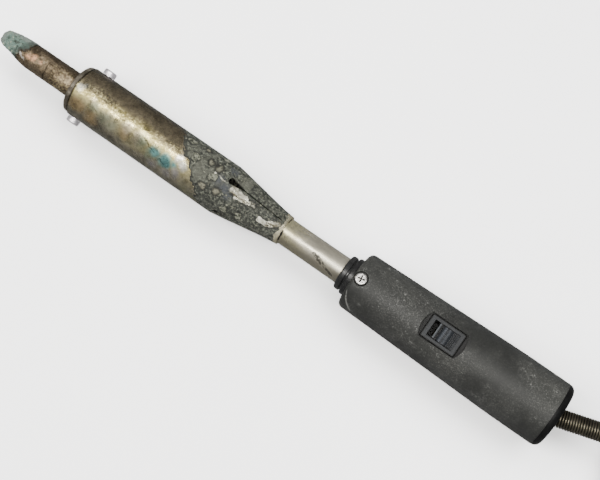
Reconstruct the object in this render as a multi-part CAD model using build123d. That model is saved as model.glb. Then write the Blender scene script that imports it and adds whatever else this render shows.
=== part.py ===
from build123d import *

import math
import os

# A heavy mains soldering iron, with the switch in its handle, lying on its side. Millimetres.
# The parts are drawn in the iron's own frame: X runs along the axis from the handle's rear face
# (x = 0) to the tip, the axis is at z = 0 and the switch faces +Z. place() then moves them so
# that the floor is z = 0 and X = 0 is the middle of the iron's length.

# --- driving dimensions -----------------------------------------------------------------------
TIP_X = 371.4
BIT_SHOULDER_X = 352.5
BIT_REAR_X = 236.0
BIT_R = 8.0
BIT_STEP_X = 317.0
BIT_SHANK_R = 7.8
BIT_NOSE_WIDTH = 8.0
BIT_NOSE_ROUND = 3.2
BIT_BORE_R = 8.05

BARREL_FRONT_X = 313.4
SEAM = 0.5
BARREL_R = 15.0
BARREL_WALL = 1.2
CAP_FRONT_X = 316.7
CAP_R = 14.4
CLAMP_LEFT_X = 308.8
CLAMP_RIGHT_X = 306.4
CLAMP_ROLL = 7.0
CLAMPS = ((CLAMP_LEFT_X, CLAMP_ROLL + 90), (CLAMP_RIGHT_X, CLAMP_ROLL - 90))
TAPER_FRONT_X = 214.5
FINGER_END_X = 174.0
FINGER_R = 8.7
SLOT_HEAD_X = 210.6
SLOT_HEAD_R = 2.0
SLOT_NECK_X = 201.5
SLOT_TAIL_X = 177.0
SLOT_WIDTH = 0.7
SLOT_ROLLS = (-17.0, 73.0, 163.0, 253.0)

NECK_R = 7.7
NECK_BORE_R = 6.7
NECK_REAR_X = 104.0
NECK_FRONT_X = 180.0
COLLAR_FRONT_X = 135.3
COLLAR_R = 10.5

HANDLE_FRONT_X = 128.0
HANDLE_FRONT_R = 16.65
HANDLE_R = 18.7
HANDLE_FULL_X = 32.0
HANDLE_BORE_R = 9.85
CAVITY_FRONT_X = 110.0
CAVITY_FRONT_R = 13.4
CAVITY_REAR_R = 15.2
END_CAP_T = 4.0

HANDLE_SCREW_X = 123.5
COUNTERBORE_R = 4.05
COUNTERBORE_Z = 14.2

SWITCH_X = 72.0
SWITCH_LENGTH = 21.0
SWITCH_WIDTH = 14.0
SWITCH_POCKET_Z = 15.2
BEZEL_T = 1.5
OPENING_LENGTH = 15.1
OPENING_WIDTH = 9.5
SLIDER_LENGTH = 11.8
SLIDER_WIDTH = 9.1
SWITCH_BASE_Z = 3.0

CORD_R = 3.6
SPRING_R = 5.35
SPRING_BORE_R = 4.35
SPRING_INSIDE = 6.0
SPRING_LENGTH = 37.0
CORD_START_X = 10.0

AXIS_HEIGHT = HANDLE_R
MIDDLE_X = 170.1

# The free cord lies in a hank behind the handle: four turns of a waisted loop, two side by side
# and two high, with the supply end coming in over them and the plug end leaving on top.
HANK_LOOP_R = 21.6
HANK_WAIST_R = 30.0
HANK_REACH = 39.2
HANK_X = -104.4
HANK_Y = -10.0
LAST_PASS_X = -76.0
CORD_D = 2 * CORD_R
CORD_ROUTE = [
    (CORD_START_X, 0, 0),
    (4.0, 0, 0),
    (-2.0, -0.9, 0),
    (-13.0, -4.3, 0.0),
    (-34.0, -10.4, 0.1),
    (-53.5, -13.6, -1.6),
    (-71.5, -13.8, -8.2),
    (-89.0, -13.6, -13.6),
]
TAIL_ROUTE = [
    (-144.0, -17.2, -0.7),
    (-155.5, -16.6, -0.7),
    (-167.0, -15.0, 0.0),
    (-178.5, -15.0, 0.0),
]

BOOT_LENGTH = 28.0
PLUG_BODY_LENGTH = 34.0
PLUG_R = AXIS_HEIGHT
PLUG_PIN_R = 2.4
PLUG_PIN_ROOT_R = 2.1
PLUG_PIN_LENGTH = 19.0
PLUG_PIN_SPACING = 19.0

# --- helpers ----------------------------------------------------------------------------------
FROM_FLOOR = (Align.CENTER, Align.CENTER, Align.MIN)


def turned(outline, rounds=()):
    """A solid turned about X from (x, radius) corners; rounds holds (corner, fillet radius)."""
    face = make_face(Polyline(*outline, close=True))
    for corner, radius in rounds:
        vertex = face.vertices().sort_by_distance((*corner, 0))[0]
        face = fillet(vertex, radius)
    return revolve(face, Axis.X)


def rod(x0, x1, radius):
    return turned([(x0, 0), (x1, 0), (x1, radius), (x0, radius)])


def sleeve(x0, x1, outer, inner):
    return turned([(x0, inner), (x1, inner), (x1, outer), (x0, outer)])


def block(x, y, z):
    """A box from three (low, high) pairs."""
    middle = [(low + high) / 2 for low, high in (x, y, z)]
    return Pos(*middle) * Box(*(high - low for low, high in (x, y, z)))


def rolled(shape, degrees):
    """Turn a shape about the iron's axis, from +Z towards +Y for positive degrees."""
    return Rot(-degrees, 0, 0) * shape


def upright(x, z0, z1, radius, y=0.0):
    return Pos(x, y, z0) * Cylinder(radius, z1 - z0, align=FROM_FLOOR)


def corner_radii(route):
    """The largest radius at each corner of a route that leaves a little straight between them."""
    points = [Vector(*p) for p in route]
    radii = []
    for before, corner, after in zip(points, points[1:], points[2:]):
        arriving, leaving = corner - before, after - corner
        half_turn = math.radians(arriving.get_angle(leaving) / 2)
        shorter = min(arriving.length, leaving.length)
        radii.append(0.45 * shorter / math.tan(half_turn))
    return radii


def swept(path, radius, bore=0.0):
    """A round bar, or a tube where it has a bore, along a path."""
    section = Circle(radius)
    if bore:
        section -= Circle(bore)
    return sweep((path ^ 0) * section, path=path)


def cord_path(route):
    return FilletPolyline(*route, radius=corner_radii(route))


def wire(route, radius, bend=3.0):
    path = FilletPolyline(*route, radius=bend)
    return swept(path, radius)


# --- the hot end ------------------------------------------------------------------------------
def soldering_bit():
    """A copper bar, scaled outside the holder, with a four-sided point and a blunt nose."""
    blank = turned(
        [
            (BIT_REAR_X, 0),
            (TIP_X, 0),
            (TIP_X, BIT_R),
            (BIT_STEP_X, BIT_R),
            (BIT_STEP_X, BIT_SHANK_R),
            (BIT_REAR_X, BIT_SHANK_R),
        ],
        [((BIT_REAR_X, BIT_SHANK_R), 0.8)],
    )
    shoulder = Plane(origin=(BIT_SHOULDER_X, 0, 0), z_dir=(1, 0, 0))
    nose = Plane(origin=(TIP_X, 0, 0), z_dir=(1, 0, 0))
    broad = shoulder * Rectangle(2 * BIT_R, 2 * BIT_R)
    narrow = nose * Rectangle(BIT_NOSE_WIDTH, BIT_NOSE_WIDTH)
    point = loft([broad, narrow])
    point = fillet(point.edges().group_by(Axis.X)[-1], BIT_NOSE_ROUND)
    stem = block((BIT_REAR_X, BIT_SHOULDER_X), (-BIT_R, BIT_R), (-BIT_R, BIT_R))
    return rolled(blank & (stem + point), CLAMP_ROLL)


def bit_holder():
    body = turned(
        [
            (297.0, BIT_BORE_R),
            (CAP_FRONT_X, BIT_BORE_R),
            (CAP_FRONT_X, CAP_R),
            (BARREL_FRONT_X + SEAM, CAP_R),
            (BARREL_FRONT_X + SEAM, 13.7),
            (297.0, 13.7),
        ],
        [((CAP_FRONT_X, CAP_R), 1.2), ((CAP_FRONT_X, BIT_BORE_R), 0.6)],
    )
    for x, roll in CLAMPS:
        body -= rolled(upright(x, 0, 20, 2.05), roll)
    return body


def clamp_screw(x, roll):
    """A slotted cheese-head M4 screw through the barrel, its end on the bit."""
    shank = upright(x, BIT_SHANK_R + 0.1, BARREL_R + 0.3, 2.0)
    head = upright(x, BARREL_R + 0.15, BARREL_R + 3.3, 3.75)
    head = fillet(head.edges().group_by(Axis.Z)[-1], 0.9)
    slot = block((x - 4, x + 4), (-0.5, 0.5), (BARREL_R + 2.1, BARREL_R + 4))
    return rolled(shank + head - slot, roll)


def barrel_shell():
    """The steel barrel, its rear drawn down into four fingers that grip the neck tube."""
    bore = BARREL_R - BARREL_WALL
    grip = NECK_R + 0.05
    outside = Spline(
        (TAPER_FRONT_X, BARREL_R), (205, 13.5), (195, 11.8), (185, 10.1), (FINGER_END_X, FINGER_R)
    )
    inside = Spline((TAPER_FRONT_X - 1, bore), (205, 12.3), (195, 10.6), (185, 8.85), (180, grip))
    outline = [
        Line((BARREL_FRONT_X, BARREL_R), (TAPER_FRONT_X, BARREL_R)),
        outside,
        Line((FINGER_END_X, FINGER_R), (FINGER_END_X, grip)),
        Line((FINGER_END_X, grip), (180, grip)),
        inside,
        Line((TAPER_FRONT_X - 1, bore), (BARREL_FRONT_X, bore)),
        Line((BARREL_FRONT_X, bore), (BARREL_FRONT_X, BARREL_R)),
    ]
    shell = revolve(make_face(outline), Axis.X)
    head = Pos(SLOT_HEAD_X, 0) * Circle(SLOT_HEAD_R)
    wedge = [
        (SLOT_HEAD_X, -SLOT_HEAD_R),
        (SLOT_HEAD_X, SLOT_HEAD_R),
        (SLOT_NECK_X, SLOT_WIDTH / 2),
        (SLOT_TAIL_X, SLOT_WIDTH / 2),
        (SLOT_TAIL_X, -SLOT_WIDTH / 2),
        (SLOT_NECK_X, -SLOT_WIDTH / 2),
    ]
    slot = extrude(head + make_face(Polyline(*wedge, close=True)), 20)
    for roll in SLOT_ROLLS:
        shell -= rolled(slot, roll)
    for x, roll in CLAMPS:
        shell -= rolled(upright(x, 0, 20, 2.3), roll)
    return shell


# --- the heater -------------------------------------------------------------------------------
CORE_R = 8.8
WINDING_R = 9.6
WINDING_WIRE_R = 0.4
WINDING_PITCH = 2.5
WINDING_X = (236.5, 289.0)
LEAD_R = 0.5
LEAD_Y = (9.6, -11.4)
BEAD_Y = 2.8


def core_tube():
    return sleeve(231.0, 296.9, CORE_R, BIT_BORE_R)


def heating_winding():
    start, end = WINDING_X
    coil = Helix(WINDING_PITCH, end - start, WINDING_R, center=(start, 0, 0), direction=(1, 0, 0))
    return sweep((coil ^ 0) * Circle(WINDING_WIRE_R), path=coil, is_frenet=True)


def front_insulator():
    return sleeve(292.0, 296.8, 13.6, CORE_R + 0.1)


def rear_insulator():
    disc = sleeve(222.0, 230.5, 13.6, 3.0)
    for y in LEAD_Y:
        disc -= Pos(0, y, 0) * rod(220, 232, LEAD_R + 0.2)
    return disc


def heater_leads():
    """Two nickel leads, from the winding's two ends back through the neck to the handle."""
    leads = []
    for y, start in zip(LEAD_Y, (233.0, 291.0)):
        side = math.copysign(BEAD_Y, y)
        route = [(start, y, 0), (216, y, 0), (196, side, 0), (98.5, side, 0)]
        leads.append(wire(route, LEAD_R, bend=8.0))
    return leads


def ceramic_beads():
    beads = []
    for side in (BEAD_Y, -BEAD_Y):
        for index in range(13):
            x = 108.0 + 6.2 * index
            beads.append(Pos(0, side, 0) * sleeve(x, x + 5.6, 1.9, LEAD_R + 0.2))
    return beads


# --- the neck and the handle ------------------------------------------------------------------
def neck_tube():
    return sleeve(NECK_REAR_X, NECK_FRONT_X, NECK_R, NECK_BORE_R)


def heat_collar():
    """A black moulded collar of two rounded bands, against the handle's front."""
    bore = NECK_R + 0.05
    outline = [
        (HANDLE_FRONT_X + 0.05, bore),
        (COLLAR_FRONT_X, bore),
        (COLLAR_FRONT_X, COLLAR_R - 0.3),
        (131.9, COLLAR_R - 0.3),
        (131.9, COLLAR_R - 1.1),
        (131.2, COLLAR_R - 1.1),
        (131.2, COLLAR_R + 0.6),
        (HANDLE_FRONT_X + 0.05, COLLAR_R + 0.6),
    ]
    rounds = [
        ((COLLAR_FRONT_X, COLLAR_R - 0.3), 1.4),
        ((131.9, COLLAR_R - 0.3), 0.6),
        ((131.2, COLLAR_R + 0.6), 1.2),
    ]
    return turned(outline, rounds)


def neck_bush():
    """The steel ferrule that joins the neck to the handle, tapped for the handle screw."""
    bush = sleeve(111.0, 127.5, HANDLE_BORE_R - 0.1, NECK_R + 0.05)
    return bush - upright(HANDLE_SCREW_X, 0, 12, 1.95)


def handle_shell():
    outside = turned(
        [
            (END_CAP_T, 0),
            (HANDLE_FRONT_X, 0),
            (HANDLE_FRONT_X, HANDLE_FRONT_R),
            (HANDLE_FULL_X, HANDLE_R),
            (END_CAP_T, HANDLE_R - 0.05),
        ],
        [((HANDLE_FRONT_X, HANDLE_FRONT_R), 3.0), ((HANDLE_FULL_X, HANDLE_R), 400.0)],
    )
    cavity = turned(
        [(0, 0), (CAVITY_FRONT_X, 0), (CAVITY_FRONT_X, CAVITY_FRONT_R), (0, CAVITY_REAR_R)],
        [((CAVITY_FRONT_X, CAVITY_FRONT_R), 2.0)],
    )
    shell = outside - cavity - rod(CAVITY_FRONT_X - 1, HANDLE_FRONT_X + 1, HANDLE_BORE_R)
    pocket_plan = Circle(SWITCH_LENGTH / 2 + 2.5) & Rectangle(40, SWITCH_WIDTH + 0.4)
    shell -= Pos(SWITCH_X, 0, SWITCH_POCKET_Z) * extrude(pocket_plan, 10)
    shell -= block((SWITCH_X - 9.5, SWITCH_X + 9.5), (-6.5, 6.5), (0, 20))
    shell -= upright(HANDLE_SCREW_X, COUNTERBORE_Z, 20, COUNTERBORE_R)
    return shell - upright(HANDLE_SCREW_X, 0, 20, 2.2)


def handle_screw():
    """An M4 pan-head screw with a cross recess, in the handle's counterbore."""
    low, high = COUNTERBORE_Z + 0.02, COUNTERBORE_Z + 2.3
    head = upright(HANDLE_SCREW_X, low, high, 3.55)
    head = fillet(head.edges().group_by(Axis.Z)[-1], 1.1)
    cross = Rectangle(4.0, 0.75) + Rectangle(0.75, 4.0)
    recess = Pos(HANDLE_SCREW_X, 0, high) * Rot(0, 0, 10) * extrude(cross, -1.5, taper=12)
    shank = upright(HANDLE_SCREW_X, NECK_R + 0.3, low + 0.01, 1.9)
    return head + shank - recess


def end_cap():
    """The black rear cap, with a spigot in the handle and the saddle for the cord clamp."""
    rim = HANDLE_R - 0.15
    cap = turned(
        [(0, 0), (END_CAP_T - 0.05, 0), (END_CAP_T - 0.05, rim), (0, rim)],
        [((0, rim), 3.6)],
    )
    spigot = sleeve(END_CAP_T - 1, 11.0, 15.0, 12.8)
    saddle = block((END_CAP_T - 1, 20.0), (-11.5, 11.5), (-8.0, -0.3))
    saddle &= rod(0, 30, 14.2)
    body = cap + spigot + saddle
    body -= swept(spring_path(), SPRING_R + 0.1)
    body -= rod(5.0, 30, CORD_R + 0.1)
    for y in (-8.6, 8.6):
        body -= upright(14.0, -7.0, 0, 1.5, y)
    return body


def cord_clamp():
    bar = block((9.5, 18.5), (-11.5, 11.5), (0.3, 6.3)) - rod(0, 30, CORD_R + 0.05)
    bar = fillet(bar.edges().filter_by(Axis.X).group_by(Axis.Z)[-1], 2.0)
    for y in (-8.6, 8.6):
        bar -= upright(14.0, 0, 10, 1.6, y)
    return bar


def cord_clamp_screws():
    screws = []
    for y in (-8.6, 8.6):
        head = upright(14.0, 6.35, 8.2, 2.6, y) - block((13.7, 14.3), (y - 3, y + 3), (7.4, 9))
        screws.append(head + upright(14.0, -6.0, 6.4, 1.45, y))
    return screws


# --- the switch -------------------------------------------------------------------------------
TERMINAL_X = (66.4, 71.0, 77.0)


def switch_housing():
    floor = SWITCH_POCKET_Z + 0.02
    plate = Rectangle(SWITCH_LENGTH, SWITCH_WIDTH)
    plate = fillet(plate.vertices(), 1.2)
    bezel = Pos(SWITCH_X, 0, floor) * extrude(plate, BEZEL_T)
    bezel = chamfer(bezel.edges().group_by(Axis.Z)[-1], 0.4)
    body = block((SWITCH_X - 9.3, SWITCH_X + 9.3), (-6.3, 6.3), (SWITCH_BASE_Z, floor + 0.1))
    well = block(
        (SWITCH_X - OPENING_LENGTH / 2, SWITCH_X + OPENING_LENGTH / 2),
        (-OPENING_WIDTH / 2, OPENING_WIDTH / 2),
        (0, 20),
    )
    return bezel + body - well


def switch_base():
    base = block((SWITCH_X - 9.3, SWITCH_X + 9.3), (-6.3, 6.3), (SWITCH_BASE_Z - 1.6, SWITCH_BASE_Z))
    for x in TERMINAL_X:
        base -= block((x - 0.45, x + 0.45), (-1.85, 1.85), (0, 4))
    return base


def switch_terminals():
    blades = []
    for x in TERMINAL_X:
        blade = block((x - 0.4, x + 0.4), (-1.8, 1.8), (-4.0, SWITCH_BASE_Z + 0.9))
        blade -= Pos(x, 0, -2.6) * Rot(0, 90, 0) * Cylinder(0.75, 4)
        blades.append(blade)
    return blades


def switch_slider():
    """The thumb slide at its rear stop: a front lip, a groove, a curved pad and a ribbed rear."""
    rear = SWITCH_X - OPENING_LENGTH / 2 + 0.05
    front = rear + SLIDER_LENGTH
    edge = SWITCH_POCKET_Z + BEZEL_T
    side = [
        Line((rear, 8.0), (front, 8.0)),
        Line((front, 8.0), (front, edge + 0.9)),
        Line((front, edge + 0.9), (front - 1.2, edge + 0.9)),
        Line((front - 1.2, edge + 0.9), (front - 1.2, edge - 0.7)),
        Line((front - 1.2, edge - 0.7), (front - 2.2, edge - 0.7)),
        Line((front - 2.2, edge - 0.7), (front - 2.2, edge + 0.7)),
        ThreePointArc(
            (front - 2.2, edge + 0.7), (front - 5.4, edge - 0.1), (front - 8.2, edge + 0.8)
        ),
        Line((front - 8.2, edge + 0.8), (rear, edge + 0.8)),
        Line((rear, edge + 0.8), (rear, 8.0)),
    ]
    body = Plane.XZ * make_face(side)
    body = extrude(body, SLIDER_WIDTH / 2, both=True)
    for index in range(3):
        x = rear + 0.9 + 0.95 * index
        body -= block((x, x + 0.4), (-6, 6), (edge + 0.3, edge + 2))
    return body


def switch_contact():
    """A brass bridge under the slider, clear of the fixed blades."""
    rear = SWITCH_X - OPENING_LENGTH / 2 + 1.6
    plate = block((rear, rear + 8.4), (-2.4, 2.4), (7.2, 7.97))
    feet = [block((x, x + 0.9), (-1.6, 1.6), (4.3, 7.3)) for x in (rear, rear + 7.5)]
    return plate + feet[0] + feet[1]


# --- wiring inside the handle -----------------------------------------------------------------
CORE_OFFSET = 1.5
INNER_CORD_END_X = 30.0


def inner_cord():
    """The sheathed cord from the end cap's outlet, through the clamp, to its stripped end."""
    return rod(CORD_START_X, INNER_CORD_END_X, CORD_R)


def terminal_block():
    body = block((85.0, 99.0), (-7.5, 7.5), (-4.2, 4.2))
    body = fillet(body.edges().filter_by(Axis.X), 1.0)
    for y in (-BEAD_Y - 0.9, BEAD_Y + 0.9):
        body -= Pos(0, y, 0) * rod(84, 100, 2.3)
        for x in (88.5, 95.5):
            body -= upright(x, 0, 6, 1.6, y)
    return body


def terminal_sleeves():
    sleeves = []
    for y in (-BEAD_Y - 0.9, BEAD_Y + 0.9):
        body = Pos(0, y, 0) * sleeve(85.5, 98.4, 2.2, 1.55)
        for x in (88.5, 95.5):
            body -= upright(x, 0, 6, 1.3, y)
        sleeves.append(body)
    return sleeves


def terminal_screws():
    screws = []
    for y in (-BEAD_Y - 0.9, BEAD_Y + 0.9):
        for x in (88.5, 95.5):
            screw = upright(x, 1.0, 4.0, 1.25, y)
            screws.append(screw - block((x - 2, x + 2), (y - 0.25, y + 0.25), (3.4, 5)))
    return screws


def supply_wires():
    """Live from the cord to the switch's rear blade, neutral to the terminal block."""
    start = INNER_CORD_END_X
    live = wire([(start, 0, 1.8), (44, 0, 1.8), (56, 0, -3.0), (65.9, 0, -2.6)], 1.1, 4.0)
    y = -BEAD_Y - 0.9
    route = [(start, -1.6, -1.0), (42, -1.6, -1.0), (56, -5.0, -7.0), (74, -5.0, -7.0)]
    neutral = wire(route + [(82, y, 0), (87, y, 0)], 1.1, 3.5)
    return [live, neutral]


def switched_wire():
    y = BEAD_Y + 0.9
    return wire([(77.5, 0, -2.6), (80.5, 0, -2.6), (83, y, 0), (87, y, 0)], 1.1, 1.6)


EARTH_SCREW_Z = 10.9


def earth_clamp():
    """A brass band round the neck tube's end, its two ears drawn together by a screw."""
    band = sleeve(104.5, 109.5, NECK_R + 0.9, NECK_R + 0.05)
    ears = block((104.5, 109.5), (-1.9, 1.9), (NECK_R + 0.3, 12.6))
    gap = block((104, 110), (-0.6, 0.6), (NECK_R - 0.5, 13))
    hole = Pos(107.0, 0, EARTH_SCREW_Z) * Rot(90, 0, 0) * Cylinder(1.3, 10)
    inside = rod(104, 110, NECK_R + 0.05)
    return band + (ears - inside) - gap - hole


def earth_screw():
    middle = Pos(107.0, 0, EARTH_SCREW_Z) * Rot(90, 0, 0)
    nut = extrude(RegularPolygon(2.2, 6), 0.8, both=True)
    return middle * (Cylinder(1.25, 5.6) + Pos(0, 0, -2.8) * Cylinder(2.0, 1.6) + Pos(0, 0, 2.75) * nut)


def earth_wire():
    route = [
        (INNER_CORD_END_X, 1.6, -1.0),
        (42, 1.6, -1.0),
        (56, 8.6, -3.0),
        (84, 10.2, 0.0),
        (98, 9.0, 4.0),
        (104.6, 5.2, 9.4),
    ]
    return wire(route, 1.1, 5.0)


# --- the cord ---------------------------------------------------------------------------------
def spring_path():
    """The part of the cord's path from the spring's seat in the end cap to its free end."""
    path = cord_path(CORD_ROUTE[:6])
    start = CORD_START_X - SPRING_INSIDE
    return path.trim(start / path.length, (start + SPRING_LENGTH) / path.length)


def strain_relief_spring():
    """The close-wound spring round the cord where it leaves the end cap."""
    return swept(spring_path(), SPRING_R, SPRING_BORE_R)


def power_cord():
    return swept(cord_path(CORD_ROUTE), CORD_R)


def cord_hank():
    """The outer shape of the tied hank, and of its last pass, which lies on top."""
    wide = HANK_LOOP_R + CORD_D + CORD_R
    waist = HANK_WAIST_R - CORD_D - CORD_R
    across = CORD_R + HANK_WAIST_R
    share = wide / math.hypot(HANK_REACH, across)
    middle = Rectangle(2 * HANK_REACH * (1 - share), 2 * across * share)
    plan = middle + Pos(HANK_REACH, 0) * Circle(wide) + Pos(-HANK_REACH, 0) * Circle(wide)
    plan -= Pos(0, across) * Circle(waist)
    plan -= Pos(0, -across) * Circle(waist)
    body = Pos(HANK_X, HANK_Y, -AXIS_HEIGHT) * extrude(plan, 2 * CORD_D)
    top = 2 * CORD_D - AXIS_HEIGHT
    x, y, _ = TAIL_ROUTE[0]
    last = block((x - 2, LAST_PASS_X), (y - CORD_R, y + CORD_R), (top - 1, top + CORD_D))
    return body + last


def cord_tail():
    return swept(cord_path(TAIL_ROUTE), CORD_R)


def cord_tie():
    """A strap round the hank's waist, with its tongue lapped on top."""
    half = 2 * CORD_D + 0.8
    top = 3 * CORD_D - AXIS_HEIGHT + 0.2
    bottom = -AXIS_HEIGHT
    width = 10.0
    x = (HANK_X - width / 2, HANK_X + width / 2)
    outside = block(x, (HANK_Y - half - 1.2, HANK_Y + half + 1.2), (bottom, top + 1.2))
    outside = fillet(outside.edges().filter_by(Axis.X), 3.0)
    hollow = (x[0] - 1, x[1] + 1), (HANK_Y - half, HANK_Y + half), (bottom - 1, top)
    tongue = block((x[0] + 1, x[1] - 1), (HANK_Y - 6, HANK_Y + 10), (top + 1.1, top + 2.2))
    return outside + tongue - block(*hollow)


# --- the plug ---------------------------------------------------------------------------------
PLUG_START = TAIL_ROUTE[-1]
PLUG_BACK_X = PLUG_START[0] - BOOT_LENGTH
PLUG_FACE_X = PLUG_BACK_X - PLUG_BODY_LENGTH


def on_plug_axis(shape):
    return Pos(0, PLUG_START[1], PLUG_START[2]) * shape


def plug_boot():
    start = PLUG_START[0]
    outline = [(start, 0), (PLUG_BACK_X, 0), (PLUG_BACK_X, 9.0), (start, 5.0)]
    boot = turned(outline, [((start, 5.0), 0.8)])
    for index in range(5):
        x = start - 4.5 - 4.6 * index
        boot -= sleeve(x - 1.6, x, 12, 4.4 + 0.62 * index)
    return on_plug_axis(boot)


def plug_body():
    outline = [
        (PLUG_BACK_X - 0.05, 0),
        (PLUG_FACE_X, 0),
        (PLUG_FACE_X, PLUG_R - 0.6),
        (PLUG_FACE_X + 15, PLUG_R),
        (PLUG_FACE_X + 23, PLUG_R - 3),
        (PLUG_BACK_X - 0.05, 10.5),
    ]
    rounds = [
        ((PLUG_FACE_X, PLUG_R - 0.6), 1.5),
        ((PLUG_FACE_X + 15, PLUG_R), 8.0),
        ((PLUG_BACK_X - 0.05, 10.5), 1.5),
    ]
    body = turned(outline, rounds)
    for side in (1, -1):
        z = (14.6, 20.0) if side > 0 else (-20.0, -14.6)
        body -= block((PLUG_FACE_X - 1, PLUG_FACE_X + 13), (-3.2, 3.2), z)
        y = side * PLUG_PIN_SPACING / 2
        body -= Pos(0, y, 0) * rod(PLUG_FACE_X - 1, PLUG_FACE_X + 10, PLUG_PIN_ROOT_R + 0.02)
    return on_plug_axis(body)


def plug_pins():
    pins = []
    for y in (-PLUG_PIN_SPACING / 2, PLUG_PIN_SPACING / 2):
        end = PLUG_FACE_X - PLUG_PIN_LENGTH
        outline = [
            (PLUG_FACE_X + 9, 0),
            (end, 0),
            (end, PLUG_PIN_R),
            (PLUG_FACE_X - 0.02, PLUG_PIN_R),
            (PLUG_FACE_X - 0.02, PLUG_PIN_ROOT_R),
            (PLUG_FACE_X + 9, PLUG_PIN_ROOT_R),
        ]
        pins.append(on_plug_axis(Pos(0, y, 0) * turned(outline, [((end, PLUG_PIN_R), 1.6)])))
    return pins


def plug_earth_clips():
    clips = []
    for side in (1, -1):
        z = sorted((side * 14.65, side * 15.6))
        bar = block((PLUG_FACE_X + 0.3, PLUG_FACE_X + 12.9), (-2.4, 2.4), z)
        clips.append(on_plug_axis(bar))
    return clips


# --- writing ----------------------------------------------------------------------------------
def place(shape):
    """Move a shape from the iron's frame to the part's frame."""
    solids = shape if isinstance(shape, list) else [shape]
    moved = [Pos(-MIDDLE_X, 0, AXIS_HEIGHT) * solid for solid in solids]
    return moved[0] if len(moved) == 1 else Compound(children=moved)


NODES = {
    "soldering_bit": soldering_bit,
    "bit_holder": bit_holder,
    "clamp_screw_left": lambda: clamp_screw(*CLAMPS[0]),
    "clamp_screw_right": lambda: clamp_screw(*CLAMPS[1]),
    "barrel_shell": barrel_shell,
    "core_tube": core_tube,
    "mica_inner": lambda: sleeve(232.0, 291.5, 9.15, CORE_R + 0.1),
    "mica_outer": lambda: sleeve(234.0, 290.5, 10.8, 10.2),
    "heating_winding": heating_winding,
    "front_insulator": front_insulator,
    "rear_insulator": rear_insulator,
    "heater_leads": heater_leads,
    "ceramic_beads": ceramic_beads,
    "neck_tube": neck_tube,
    "heat_collar": heat_collar,
    "neck_bush": neck_bush,
    "handle_shell": handle_shell,
    "handle_screw": handle_screw,
    "end_cap": end_cap,
    "cord_clamp": cord_clamp,
    "cord_clamp_screws": cord_clamp_screws,
    "switch_housing": switch_housing,
    "switch_base": switch_base,
    "switch_terminals": switch_terminals,
    "switch_slider": switch_slider,
    "switch_contact": switch_contact,
    "inner_cord": inner_cord,
    "terminal_block": terminal_block,
    "terminal_sleeves": terminal_sleeves,
    "terminal_screws": terminal_screws,
    "supply_wires": supply_wires,
    "switched_wire": switched_wire,
    "earth_clamp": earth_clamp,
    "earth_screw": earth_screw,
    "earth_wire": earth_wire,
    "strain_relief_spring": strain_relief_spring,
    "power_cord": power_cord,
    "cord_hank": cord_hank,
    "cord_tail": cord_tail,
    "cord_tie": cord_tie,
    "plug_boot": plug_boot,
    "plug_body": plug_body,
    "plug_pins": plug_pins,
    "plug_earth_clips": plug_earth_clips,
}

os.makedirs("parts", exist_ok=True)
for name, build in NODES.items():
    export_step(place(build()), f"parts/{name}.step")

for name, route in (("power cord", CORD_ROUTE), ("cord tail", TAIL_ROUTE)):
    path = cord_path(route)
    tube = swept(path, CORD_R)
    radii = ", ".join(f"{radius:.0f}" for radius in corner_radii(route))
    share = tube.volume / (math.pi * CORD_R**2 * path.length)
    print(f"{name}: {path.length:.1f} mm, volume share {share:.4f}, corner radii {radii} mm")
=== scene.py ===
import math

import bpy
from mathutils import Matrix, Vector, geometry, noise


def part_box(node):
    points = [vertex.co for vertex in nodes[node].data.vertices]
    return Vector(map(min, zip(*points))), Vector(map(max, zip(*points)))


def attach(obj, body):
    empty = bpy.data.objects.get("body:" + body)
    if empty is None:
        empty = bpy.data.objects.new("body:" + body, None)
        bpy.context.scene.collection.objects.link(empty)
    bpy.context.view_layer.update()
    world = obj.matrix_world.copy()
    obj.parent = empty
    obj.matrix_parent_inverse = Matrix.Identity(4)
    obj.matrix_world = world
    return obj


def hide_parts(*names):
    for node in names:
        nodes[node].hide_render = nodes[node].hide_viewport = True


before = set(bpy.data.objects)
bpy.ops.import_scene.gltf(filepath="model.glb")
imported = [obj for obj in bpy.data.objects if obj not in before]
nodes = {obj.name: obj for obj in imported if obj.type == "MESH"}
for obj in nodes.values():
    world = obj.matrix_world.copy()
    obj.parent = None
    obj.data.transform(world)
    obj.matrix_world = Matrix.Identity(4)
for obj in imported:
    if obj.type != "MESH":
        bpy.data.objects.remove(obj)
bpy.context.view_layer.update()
scene = bpy.context.scene
MM = 0.001

# --- where things are -------------------------------------------------------------------------
# Distances along the iron are in millimetres from the rear face of its end cap.
REAR_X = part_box("end_cap")[0].x
collar_low, collar_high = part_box("heat_collar")
AXIS_Y = (collar_low.y + collar_high.y) / 2
AXIS_Z = (collar_low.z + collar_high.z) / 2
CORD_D = 7.2 * MM
SWITCH_AT = 72.0


def x(distance):
    """The frame's X at a distance along the iron."""
    return REAR_X + distance * MM


def spot(distance, side=0.0, up=0.0):
    """A point at a distance along the iron, and to the +Y side of and over its axis, in mm."""
    return Vector((x(distance), AXIS_Y + side * MM, AXIS_Z + up * MM))


def on_skin(distance, radius, roll):
    """A point round the iron's axis; roll is in degrees from straight up towards +Y."""
    angle = math.radians(roll)
    return spot(distance, radius * math.sin(angle), radius * math.cos(angle))


# --- camera -----------------------------------------------------------------------------------
CAMERA_ROLL, CAMERA_LEAN, CAMERA_SLOPE = 7.0, 8.9, 34.6
CAMERA_AIM, CAMERA_REACH, CAMERA_SIDE = 66.0, 0.628, 0.0005
LENS, SENSOR = 70.4, 36.0


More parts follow.
